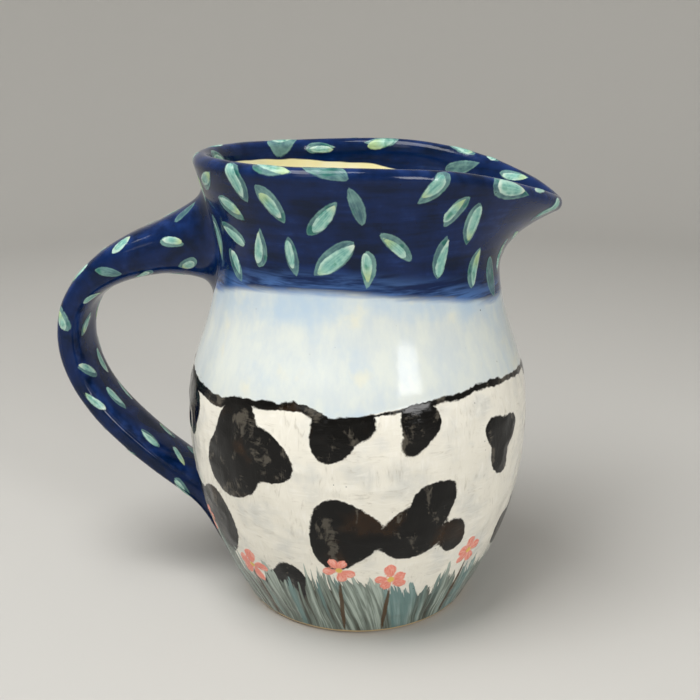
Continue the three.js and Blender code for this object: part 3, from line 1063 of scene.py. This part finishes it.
GRASS_TEAL = colour("#668b8c")
BROWN = colour("#4b3214")
PINK = colour("#e68472")
PINK_PALE = colour("#f3b6a5")
POLLEN = colour("#e2c062")
INSIDE_GLAZE = colour("#faf1bb")
INSIDE_PALE = colour("#fbf6d6")
CLAY = colour("#d8c29a")
CLAY_DARK = colour("#bb9f74")
STAGE = colour("#c3c1bc")


class Value:
    """The output of a node, which can be reckoned with like a number."""

    def __init__(self, tree, socket):
        self.tree = tree
        self.socket = socket

    def __add__(self, other):
        return self.tree.math("ADD", self, other)

    def __sub__(self, other):
        return self.tree.math("SUBTRACT", self, other)

    def __rsub__(self, other):
        return self.tree.math("SUBTRACT", other, self)

    def __mul__(self, other):
        return self.tree.math("MULTIPLY", self, other)

    def __abs__(self):
        return self.tree.math("ABSOLUTE", self)

    def at_least(self, other):
        return self.tree.math("MAXIMUM", self, other)

    def ramp(self, low, high):
        """0 at low and 1 at high, with a soft start and end."""
        inputs = {"Value": self, "From Min": low, "From Max": high}
        return self.tree.add("MapRange", inputs, "Result", interpolation_type="SMOOTHSTEP")


class Tree:
    """The nodes of one glaze, built up layer on layer."""

    def __init__(self, name):
        self.material = bpy.data.materials.new(name)
        self.material.use_nodes = True
        self.nodes = self.material.node_tree.nodes
        self.links = self.material.node_tree.links
        self.shader = self.nodes["Principled BSDF"]
        coordinates = self.add("TexCoord", {}, "Object")
        self.place = self.add("VectorMath", {0: coordinates, "Scale": 1 / METRE}, operation="SCALE")
        self.height = self.add("SeparateXYZ", {0: self.place}, "Z")

    def put(self, socket, value):
        if isinstance(value, Value):
            self.links.new(value.socket, socket)
        else:
            socket.default_value = value

    def add(self, kind, inputs, output=0, **settings):
        """A new node with these inputs and settings, as the value of one of its outputs."""
        node = self.nodes.new("ShaderNode" + kind)
        for setting, choice in settings.items():
            setattr(node, setting, choice)
        for socket, value in inputs.items():
            self.put(node.inputs[socket], value)
        return Value(self, node.outputs[output])

    def math(self, operation, *values):
        return self.add("Math", dict(enumerate(values)), operation=operation)

    def mix(self, share, first, second):
        """From the first colour to the second by a share."""
        return self.add("Mix", {0: share, 6: first, 7: second}, 2, data_type="RGBA")

    def read(self, name):
        """A layer of the paint on the skin."""
        return self.add("Attribute", {}, "Fac", attribute_name=name)

    def stretched(self, across, along):
        """Places squeezed level by one amount and upright by another."""
        return self.add("VectorMath", {0: self.place, 1: (across, across, along)}, operation="MULTIPLY")

    def combined(self, *values):
        return self.add("CombineXYZ", dict(enumerate(values)))

    def noise(self, size, detail=2.0, roughness=0.5, place=None, distortion=0.0):
        """Noise from 0 to 1 with bumps of about this size in millimetres."""
        inputs = {
            "Vector": self.place if place is None else place, "Scale": 1 / size,
            "Detail": detail, "Roughness": roughness, "Distortion": distortion}
        return self.add("TexNoise", inputs)

    def spots(self, size):
        """Distance from the nearest of many scattered points, in units of size."""
        return self.add("TexVoronoi", {"Vector": self.place, "Scale": 1 / size}, "Distance")

    def bump(self, height, distance, strength, normal=None):
        """Normals of a relief this many millimetres high, over those of another relief if there is one."""
        inputs = {"Strength": strength, "Distance": distance * METRE, "Height": height}
        if normal is not None:
            inputs["Normal"] = normal
        return self.add("Bump", inputs)


def mark_streaks(tree, name, size):
    """Streaks that the hairs of the brush left along the marks of a layer."""
    along = tree.read(name + "_along") * 0.9
    across = tree.read(name + "_across") * size
    tone = tree.read(name + "_tone") * 60
    return tree.noise(1, 3, 0.6, tree.combined(along, across, tone), 0.3)


def mark_share(tree, name, soft, ragged):
    """1 inside the marks of a layer and 0 outside, with a slightly ragged edge."""
    rough = tree.noise(1.7, 3, 0.6) * ragged - ragged / 2
    return (tree.read(name + "_edge") + rough).ramp(soft, -soft)


def cobalt_layer(tree, streak):
    """Colour of the cobalt glaze: deep where it is thick, with brushed thin places."""
    brushed = streak * 0.55 + tree.noise(14, 4, 0.6) * 0.6
    body = tree.mix(brushed.ramp(0.42, 0.66), COBALT_DEEP, COBALT_BODY)
    thin = brushed.ramp(0.62, 0.84) * 0.62
    crest = tree.read("crest") * tree.noise(6, 3).ramp(0.35, 0.7) * 0.55
    return tree.mix(thin.at_least(crest), body, COBALT_THIN)


def wash_layer(tree, base):
    """Sheer leaf washes over a base colour, and where they lie."""
    cloud = tree.noise(3.6, 3, 0.55)
    lit = mark_streaks(tree, "wash", 3.2) * 0.6 + cloud * 0.4 + tree.read("wash_tone") * 0.3
    wash = tree.mix(lit.ramp(0.46, 0.82), LEAF_SHEER, LEAF_WASH)
    wash = tree.mix(tree.noise(6.5).ramp(0.55, 0.66) * 0.75, wash, LEAF_EMERALD)
    wash = tree.mix(tree.read("wash_edge").ramp(-1.0, -0.1) * 0.3, wash, LEAF_MINT)
    share = mark_share(tree, "wash", 0.28, 0.7)
    cover = cloud.ramp(0.3, 0.7) * 0.25 + 0.58
    return tree.mix(share * cover, base, wash), share


def dab_layer(tree, base):
    """Milky leaf dabs over a base colour, and their height."""
    milk = mark_streaks(tree, "dab", 3.4) * 0.55 + tree.noise(2.6, 4, 0.6, None, 0.4) * 0.45
    tone = tree.read("dab_tone")
    along = tree.read("dab_along")
    dab = tree.mix(milk.ramp(0.36, 0.62), LEAF_TEAL, LEAF_MINT)
    green = tone * 0.3 + tree.noise(5.2)
    dab = tree.mix(green.ramp(0.72, 0.84) * 0.7, dab, LEAF_EMERALD)
    gathered = tree.read("dab_edge").ramp(-1.8, -0.2) * tree.noise(4.2).ramp(0.36, 0.58)
    dab = tree.mix(gathered * 0.85, dab, LEAF_LIGHT)
    ends = abs(along).ramp(0.5, 0.9) * tree.noise(9).ramp(0.46, 0.6)
    dab = tree.mix(ends * 0.8, dab, LEAF_PALE)
    tipped = tone * 1.5 + along
    dab = tree.mix(tipped.ramp(1.0, 1.9) * 0.75, dab, LEAF_YELLOW)
    share = mark_share(tree, "dab", 0.24, 0.7)
    cover = milk.ramp(0.25, 0.55) * 0.28 + 0.68
    return tree.mix(share * cover, base, dab), share * (milk * 0.5 + 0.5)


def leaf_layers(tree, base):
    """Leaf washes and the dabs on them over a base colour, and their height."""
    base, wash_share = wash_layer(tree, base)
    base, dab_height = dab_layer(tree, base)
    return base, wash_share * 0.35 + dab_height


def sky_layer(tree):
    """Pale wash with soft clouds, bluer just below the cobalt."""
    cloud = tree.noise(24, 4, 0.55, tree.stretched(0.8, 1.15))
    wash = tree.noise(7, 4, 0.6, tree.stretched(1.0, 0.4))
    base = tree.mix(wash.ramp(0.3, 0.72), SKY_PALE, SKY_CLOUD)
    below = tree.read("band").ramp(-20.0, -1.0)
    blue = below * 0.3 + (0.6 - (wash * 0.25 + cloud))
    base = tree.mix(blue.ramp(0.0, 0.42), base, SKY_BLUE)
    return tree.mix(tree.noise(13, 3).ramp(0.6, 0.76) * 0.4, base, SKY_WARM)


def hide_layers(tree, base):
    """The white field, with painted shade and painted highlight along its brush strokes, its black patches
    and a ragged painted outline, over the sky.
    """
    edge = tree.read("hide") + (tree.noise(3.2, 4, 0.6) * 2.2 - 1.1)
    field = edge.ramp(-0.3, 0.5)
    upright = tree.noise(2.3, 4, 0.6, tree.stretched(1.0, 0.24), 1.3)
    level = tree.noise(2.3, 4, 0.6, tree.stretched(0.24, 1.0), 1.3)
    brushed = tree.noise(14).ramp(0.4, 0.6) * (level - upright) + upright
    white = tree.mix(tree.noise(15, 3, 0.55).ramp(0.46, 0.74), CREAM, CREAM_COOL)
    # Lighter and darker cream along the brush streaks, whose noise also raises the relief: painted highlight
    # and painted shade
    white = tree.mix(brushed.ramp(0.5, 0.3) * 0.5, white, CREAM_PAINTED_HIGHLIGHT)
    white = tree.mix(brushed.ramp(0.54, 0.76) * 0.62, white, CREAM_PAINTED_SHADE)
    base = tree.mix(field, base, white)
    thick = (tree.noise(19, 3, 0.55) * 8.0 - 2.7).at_least(0.45)
    outline = (abs(edge - 0.9) - thick).ramp(0.35, -0.35)
    patch = tree.read("patch") + (tree.noise(1.9, 3, 0.6) * 1.7 - 0.85)
    black_share = (patch.ramp(0.35, -0.35) * field).at_least(outline)
    black = tree.mix(tree.noise(21, 3).ramp(0.55, 0.7), BLACK, BLACK_BROWN)
    scratched = brushed * 0.3 + tree.noise(9, 5, 0.62, tree.stretched(1.0, 0.6), 0.4)
    black = tree.mix(scratched.ramp(0.69, 0.79) * 0.8, black, BLACK_THIN)
    ridges = brushed * (field * 0.9 + 0.1)
    return tree.mix(black_share, base, black), black_share, ridges


def grass_layer(tree, base):
    """Grass at the foot in long dry strokes, each of which ends at its own height."""
    stroke = tree.combined(tree.read("stroke_x"), tree.read("stroke_y"), tree.height * 0.07)
    broad = tree.noise(3.4, 2, 0.5, stroke)
    hair = tree.noise(1.1, 3, 0.6, stroke)
    deep = broad * 40.0 + (tree.read("grass") - 20.0)
    filled = deep.ramp(0.0, 16.0) * 0.4 + hair
    share = deep.ramp(-0.7, 0.7) * filled.ramp(0.42, 0.5)
    lit = broad * 0.8 + hair * 0.5
    shade = tree.mix(lit.ramp(0.5, 0.66), GRASS_DARK, GRASS_MIDDLE)
    shade = tree.mix(lit.ramp(0.64, 0.82), shade, GRASS_PALE)
    shade = tree.mix(tree.noise(11, 2, 0.5, stroke).ramp(0.54, 0.66) * 0.65, shade, GRASS_TEAL)
    return tree.mix(share, base, shade), share


def meadow_layers(tree, base):
    """Grass, stems and blossoms over the field, and where grass and petals lie."""
    base, grass = grass_layer(tree, base)
    base = tree.mix(mark_share(tree, "stem", 0.25, 0.5) * 0.92, base, BROWN)
    pink = tree.mix(mark_streaks(tree, "petal", 2.4).ramp(0.4, 0.72), PINK, PINK_PALE)
    petal = mark_share(tree, "petal", 0.3, 0.7)
    base = tree.mix(petal, base, pink)
    base = tree.mix(mark_share(tree, "eye", 0.3, 0.4), base, POLLEN)
    return base, grass.at_least(petal)


def inside_layer(tree):
    """Creamy yellow glaze inside the jug."""
    return tree.mix(tree.noise(22, 4, 0.55).ramp(0.4, 0.7), INSIDE_GLAZE, INSIDE_PALE)


def finish_glaze(tree, base, paint_height):
    """Connects colour, gloss, pinholes and the small relief of brushed paint under glaze."""
    pinhole = tree.spots(5.5).ramp(0.075, 0.045) * tree.noise(9).ramp(0.5, 0.6)
    inputs = tree.shader.inputs
    tree.put(inputs["Base Color"], tree.mix(pinhole * 0.75, base, BLACK))
    tree.put(inputs["Roughness"], tree.noise(7, 3) * 0.08 + GLAZE_ROUGHNESS)
    tree.put(inputs["Specular IOR Level"], GLAZE_SHINE)
    ripple = tree.bump(tree.noise(6.5, 3), 0.6, 0.13)
    relief = tree.bump(paint_height, 0.3, 0.45, ripple)
    tree.put(inputs["Normal"], tree.bump(1.0 - pinhole, 0.2, 0.5, relief))
    return tree.material


def vessel_glaze(name, has_picture):
    """Glaze of the jug's body: sky or inside, the painted field if it has one, cobalt band and leaves."""
    tree = Tree(name)
    streak = tree.noise(5, 4, 0.6, tree.stretched(0.16, 1.5), 0.3)
    base = sky_layer(tree)
    height = streak * 0.3
    if has_picture:
        base, black, ridges = hide_layers(tree, base)
        base, grass = meadow_layers(tree, base)
        height = ridges * 1.1 + black * 0.6 + grass * 0.5
    inside = tree.read("inside")
    base = tree.mix(inside, base, inside_layer(tree))
    band = tree.read("band") + (streak - 0.5) * (5.0 - inside * 3.8)
    edge = tree.mix(streak.ramp(0.36, 0.62), COBALT_BODY, COBALT_EDGE)
    near_edge = (band.ramp(10.0, 0.5) * (0.95 - inside)).at_least(0.0)
    cobalt = tree.mix(near_edge, cobalt_layer(tree, streak), edge)
    base = tree.mix(band.ramp(inside * 2.3 - 2.6, 1.1 - inside * 0.8), base, cobalt)
    base, leaf_height = leaf_layers(tree, base)
    if has_picture:
        bare = tree.mix(tree.noise(3, 4, 0.6), CLAY, CLAY_DARK)
        base = tree.mix(tree.read("bare"), base, bare)
    return finish_glaze(tree, base, height + leaf_height)


def strap_glaze(name):
    """Cobalt glaze of the handle, brushed along it, with leaves."""
    tree = Tree(name)
    streak = tree.noise(6, 4, 0.6, tree.stretched(0.5, 0.5), 0.8)
    base, leaf_height = leaf_layers(tree, cobalt_layer(tree, streak))
    return finish_glaze(tree, base, leaf_height + streak * 0.2)


def build_vessel():
    """Base, belly, and collar with its lip."""
    grid = vessel_grid()
    shape_vessel(grid)
    paint_bands(grid)
    paint_patches(grid)
    paint_blossoms(grid)
    paint_vessel_leaves(grid)
    field = smooth(grid.paint["hide"] / FIELD_SOFTNESS) * (1 - grid.paint["inside"])
    black = smooth(0.5 - grid.paint["patch"] / PATCH_SOFTNESS) * field
    ridges = 1 - 2 * np.abs(soft_noise(grid.places, *BRUSH_NOISE))
    relief = (FIELD_RELIEF + BRUSH_RELIEF * ridges) * field + PATCH_RELIEF * black
    relief = relief + grid.leaf_relief() + grid.mark_relief("petal", PETAL_RELIEF, PETAL_SOFTNESS)
    grid.raise_by(relief * (1 - grid.paint["bare"]))
    starts = grid.starts
    base_rows = [*range(0, starts["belly"]), *range(starts["corner"], starts["end"])]
    belly_rows = [
        *range(starts["belly"] - 1, starts["throat"]), *range(starts["inner_belly"], starts["corner"] + 1)]
    crown_rows = range(starts["throat"] - 1, starts["inner_belly"] + 1)
    base = skin_piece("glazed_base", grid, base_rows, False, "root", ["base_slab"])
    belly = skin_piece("painted_belly", grid, belly_rows, True, "root", ["belly_wall"])
    crown = skin_piece(
        "cobalt_collar_and_lip", grid, crown_rows, True, "root",
        ["neck_collar", "pouring_lip"])
    base.data.materials.append(vessel_glaze("glazed_foot", True))
    belly.data.materials.append(vessel_glaze("painted_body_glaze", True))
    crown.data.materials.append(vessel_glaze("cobalt_collar_glaze", False))


def build_strap():
    """The strap handle."""
    grid = strap_grid()
    shape_strap(grid)
    paint_strap_leaves(grid)
    grid.raise_by(grid.leaf_relief() * smooth(body_gap(grid.places) / ROOT_CLEAR))
    strap = skin_piece(
        "cobalt_strap_handle", grid, range(len(grid.places)), False, "root", ["strap_handle"])
    strap.data.materials.append(strap_glaze("cobalt_handle_glaze"))


# Camera: where it stands, how far it looks down, its focal length and its small sideways shift
CAMERA_PLACE = (0.0418, -0.3978, 0.2389)
CAMERA_LOOK = (-0.0996, 0.9479, -0.3027)
CAMERA_LENS = 48.06
IMAGE_WIDTH = 700
CAMERA_SHIFT = -7.8 / IMAGE_WIDTH


def build_camera():
    """The photograph's viewpoint."""
    data = bpy.data.cameras.new("camera")
    data.lens = CAMERA_LENS
    data.sensor_width = 36
    data.shift_x = CAMERA_SHIFT
    data.clip_start = 0.01
    bpy.context.scene.camera = aimed_object("camera", data, CAMERA_PLACE, CAMERA_LOOK)


def build_stage():
    """A round pale floor that curves up into a wall all about the jug."""
    level = -0.0002
    flat_radius = 0.9
    curve_radius = 0.5
    wall_height = 1.1
    columns = 96
    turns = np.linspace(0, math.pi / 2, 15)
    radii = np.concatenate([
        [0.1, 0.3, 0.6], flat_radius + curve_radius * np.sin(turns), [flat_radius + curve_radius]])
    heights = np.concatenate([
        np.full(3, level), level + curve_radius * (1 - np.cos(turns)), [wall_height]])
    angles = np.linspace(0, math.tau, columns, endpoint=False)
    corners = turned(level_rows(radii, heights, columns), angles)
    index = np.arange(len(radii) * columns).reshape(-1, columns)
    faces = row_faces(index, False)[:, ::-1].tolist()
    faces.append(index[0].tolist())
    mesh = smooth_mesh("floor", flat(corners), faces)
    floor = new_object("floor", mesh)
    material = bpy.data.materials.new("pale_floor")
    material.use_nodes = True
    shader = material.node_tree.nodes["Principled BSDF"]
    shader.inputs["Base Color"].default_value = STAGE
    shader.inputs["Roughness"].default_value = 0.7
    shader.inputs["Specular IOR Level"].default_value = 0.2
    mesh.materials.append(material)


def add_lamp(name, place, target, size, height, power):
    """A soft box that looks at a place."""
    data = bpy.data.lights.new(name, "AREA")
    data.shape = "RECTANGLE"
    data.size = size
    data.size_y = height
    data.energy = power
    lamp = aimed_object(name, data, place, Vector(target) - Vector(place))
    lamp.visible_camera = False


def build_light():
    """A plain soft studio: an even surround, a wide lamp overhead and two soft ones in front."""
    world = bpy.data.worlds.new("studio")
    world.use_nodes = True
    shader = world.node_tree.nodes["Background"]
    shader.inputs["Color"].default_value = (1.0, 0.99, 0.97, 1.0)
    shader.inputs["Strength"].default_value = 0.3
    bpy.context.scene.world = world
    add_lamp("high", (-0.34, -0.3, 1.12), (0, 0, 0.15), size=0.6, height=0.85, power=12.4)
    add_lamp("right", (0.7, -0.8, 0.6), (0, 0, 0.12), size=0.3, height=0.45, power=4.6)
    add_lamp("left", (-0.5, -1.1, 0.8), (0, 0, 0.1), size=0.6, height=0.6, power=1.6)


build_vessel()
build_strap()
build_camera()
build_stage()
build_light()
bpy.context.scene.view_settings.view_transform = "Standard"
